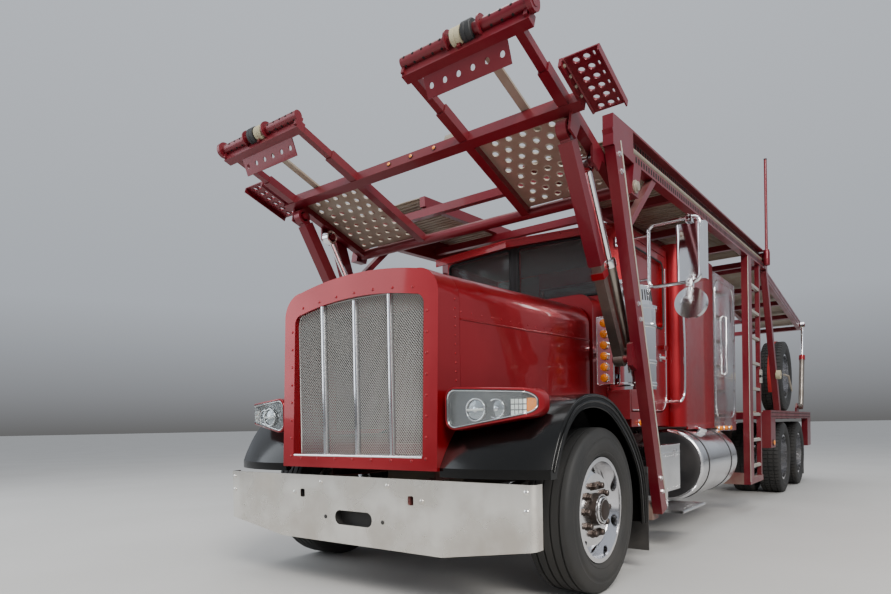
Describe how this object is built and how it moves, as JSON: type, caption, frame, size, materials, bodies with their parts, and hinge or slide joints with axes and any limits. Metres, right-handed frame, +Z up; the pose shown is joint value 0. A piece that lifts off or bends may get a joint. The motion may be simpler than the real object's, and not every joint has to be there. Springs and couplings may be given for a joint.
{
  "type": "car transporter truck",
  "caption": "Long-nosed car transporter truck with a red cab and sleeper, a head ramp over the hood, an upper deck and a low rear deck.",
  "frame": {"origin": "on the ground under the middle of the truck's bounding box", "axes": "+Z up, the truck faces -Y, +X is the truck's left side"},
  "size_m": [2.913, 9.5121, 3.985],
  "materials": {
    "red_paint": "gloss metallic",
    "rack_paint": "satin",
    "frame_paint": "satin",
    "black_paint": "gloss",
    "chrome": "mirror bright",
    "polished_aluminium": "polished",
    "stainless": "bright",
    "galvanised": "weathered",
    "cast": "dull",
    "tyre": "matt",
    "rubber": "matt",
    "glass": "clear",
    "dash_plastic": "grained",
    "seat_fabric": "woven",
    "lamp_plastic": "moulded"
  },
  "bodies": {
    "chassis": {"chassis_rails": "frame_paint", "front_axle": "cast", "engine_and_radiator": "cast", "driveline": "cast", "rear_suspension": "cast", "front_bumper": "chrome", "cab": "red_paint", "windshield": "glass", "dashboard": "dash_plastic", "seats": "seat_fabric", "sun_visor": "red_paint", "sleeper": "red_paint", "steel_cabinet": "stainless", "air_cleaners": "chrome", "mirrors": "chrome", "fuel_and_air_tanks": "polished_aluminium", "battery_boxes": "polished_aluminium", "mudflaps": "rubber", "deck_frame": "rack_paint", "deck_runways": "galvanised", "front_legs": "rack_paint", "rear_posts": "rack_paint", "ladder_rungs": "rack_paint", "lower_deck": "rack_paint", "spare_tyre": "tyre", "spare_rim": "polished_aluminium", "rear_hitch": "rack_paint", "lamps": "lamp_plastic"},
    "hood_body": {"hood": "red_paint", "grille_shell": "red_paint", "grille_mesh": "stainless", "fenders": "black_paint", "headlamps": "chrome"},
    "door_left_body": {"door_left": "red_paint"},
    "door_right_body": {"door_right": "red_paint"},
    "steering_wheel_body": {"steering_wheel": "dash_plastic"},
    "knuckle_left": {"steering_knuckle_left": "cast"},
    "knuckle_right": {"steering_knuckle_right": "cast"},
    "front_wheel_left_body": {"front_tyre_left": "tyre", "front_wheel_left": "polished_aluminium"},
    "front_wheel_right_body": {"front_tyre_right": "tyre", "front_wheel_right": "polished_aluminium"},
    "rear_wheels_1_left_body": {"rear_tyres_1_left": "tyre", "rear_wheels_1_left": "polished_aluminium"},
    "rear_wheels_1_right_body": {"rear_tyres_1_right": "tyre", "rear_wheels_1_right": "polished_aluminium"},
    "rear_wheels_2_left_body": {"rear_tyres_2_left": "tyre", "rear_wheels_2_left": "polished_aluminium"},
    "rear_wheels_2_right_body": {"rear_tyres_2_right": "tyre", "rear_wheels_2_right": "polished_aluminium"},
    "head_ramp_body": {"head_ramp": "rack_paint"},
    "fly_left_body": {"fly_ramp_left": "rack_paint"},
    "fly_right_body": {"fly_ramp_right": "rack_paint"},
    "legs_lower": {"leg_inner_tubes": "galvanised"},
    "legs_upper": {"leg_outer_tubes": "rack_paint"},
    "lift_lower": {"head_lift_barrels": "galvanised"},
    "lift_upper": {"head_lift_rods": "chrome"},
    "rear_ramp_body": {"rear_ramp": "rack_paint"},
    "rear_lift_lower": {"rear_lift_barrels": "galvanised"},
    "rear_lift_upper": {"rear_lift_rods": "chrome"}
  },
  "joints": [
    {"name": "hood_tilt", "type": "hinge", "parent": "chassis", "child": "hood_body", "pos_m": [0, -4.68395, 0.6], "axis": [1, 0, 0], "range_deg": [0, 55]},
    {"name": "door_left_swing", "type": "hinge", "parent": "chassis", "child": "door_left_body", "pos_m": [0.886, -2.62795, 1.7], "axis": [0, 0, -1], "range_deg": [0, 65]},
    {"name": "door_right_swing", "type": "hinge", "parent": "chassis", "child": "door_right_body", "pos_m": [-0.886, -2.62795, 1.7], "axis": [0, 0, 1], "range_deg": [0, 65]},
    {"name": "steer_left", "type": "hinge", "parent": "chassis", "child": "knuckle_left", "pos_m": [0.93, -3.88395, 0.475], "axis": [0, 0, 1], "range_deg": [-35, 35]},
    {"name": "steer_right", "type": "hinge", "parent": "chassis", "child": "knuckle_right", "pos_m": [-0.93, -3.88395, 0.475], "axis": [0, 0, 1], "range_deg": [-35, 35]},
    {"name": "steering_wheel_turn", "type": "hinge", "parent": "chassis", "child": "steering_wheel_body", "pos_m": [0.43, -2.37395, 1.74], "axis": [0, 0.8192, 0.5736], "range_deg": [-630, 630]},
    {"name": "front_wheel_left_spin", "type": "hinge", "parent": "knuckle_left", "child": "front_wheel_left_body", "pos_m": [1.052, -3.88395, 0.475], "axis": [1, 0, 0], "continuous": true},
    {"name": "front_wheel_right_spin", "type": "hinge", "parent": "knuckle_right", "child": "front_wheel_right_body", "pos_m": [-1.052, -3.88395, 0.475], "axis": [1, 0, 0], "continuous": true},
    {"name": "rear_wheels_1_left_spin", "type": "hinge", "parent": "chassis", "child": "rear_wheels_1_left_body", "pos_m": [0.892, 2.20305, 0.475], "axis": [1, 0, 0], "continuous": true},
    {"name": "rear_wheels_1_right_spin", "type": "hinge", "parent": "chassis", "child": "rear_wheels_1_right_body", "pos_m": [-0.892, 2.20305, 0.475], "axis": [1, 0, 0], "continuous": true},
    {"name": "rear_wheels_2_left_spin", "type": "hinge", "parent": "chassis", "child": "rear_wheels_2_left_body", "pos_m": [0.892, 3.53605, 0.475], "axis": [1, 0, 0], "continuous": true},
    {"name": "rear_wheels_2_right_spin", "type": "hinge", "parent": "chassis", "child": "rear_wheels_2_right_body", "pos_m": [-0.892, 3.53605, 0.475], "axis": [1, 0, 0], "continuous": true},
    {"name": "head_ramp_lift", "type": "hinge", "parent": "chassis", "child": "head_ramp_body", "pos_m": [0, -3.43395, 2.44], "axis": [-1, 0, 0], "range_deg": [0, 12]},
    {"name": "fly_left_slide", "type": "slide", "parent": "head_ramp_body", "child": "fly_left_body", "axis": [0, -0.9466, 0.3223], "range_m": [-0.24, 0.3]},
    {"name": "fly_right_slide", "type": "slide", "parent": "head_ramp_body", "child": "fly_right_body", "axis": [0, -0.9466, 0.3223], "range_m": [-0.24, 0.3]},
    {"name": "legs_swing", "type": "hinge", "parent": "chassis", "child": "legs_lower", "pos_m": [0, -3.38395, 1.38], "axis": [-1, 0, 0], "range_deg": [0, 4.35]},
    {"name": "legs_slide", "type": "slide", "parent": "legs_lower", "child": "legs_upper", "axis": [0, -0.5299, 0.848], "range_m": [0, 0.10536]},
    {"name": "lift_swing", "type": "hinge", "parent": "chassis", "child": "lift_lower", "pos_m": [0, -3.22895, 1.455], "axis": [-1, 0, 0], "range_deg": [0, 2.79]},
    {"name": "lift_slide", "type": "slide", "parent": "lift_lower", "child": "lift_upper", "axis": [0, -0.5203, 0.854], "range_m": [0, 0.06866]},
    {"name": "rear_lift_swing", "type": "hinge", "parent": "chassis", "child": "rear_lift_lower", "pos_m": [0, 3.71605, 1.18], "axis": [1, 0, 0], "range_deg": [-2.15, 1.09]},
    {"name": "rear_lift_slide", "type": "slide", "parent": "rear_lift_lower", "child": "rear_lift_upper", "axis": [0, 0.2283, 0.9736], "range_m": [-0.44912, 0.22481]},
    {"name": "rear_ramp_tilt", "type": "hinge", "parent": "chassis", "child": "rear_ramp_body", "pos_m": [0, 0.87591, 2.7999], "axis": [1, 0, 0], "range_deg": [-8, 4]}
  ],
  "couplings": [
    {"joint": "steer_right", "follows": "steer_left", "ratio": 1},
    {"joint": "steering_wheel_turn", "follows": "steer_left", "ratio": 18},
    {"joint": "legs_swing", "follows": "head_ramp_lift", "ratio": 0.35345},
    {"joint": "legs_slide", "follows": "head_ramp_lift", "m_per_rad": 0.49084},
    {"joint": "lift_swing", "follows": "head_ramp_lift", "ratio": 0.22636},
    {"joint": "lift_slide", "follows": "head_ramp_lift", "m_per_rad": 0.31905},
    {"joint": "rear_lift_swing", "follows": "rear_ramp_tilt", "ratio": 0.26127},
    {"joint": "rear_lift_slide", "follows": "rear_ramp_tilt", "m_per_rad": 3.15}
  ]
}
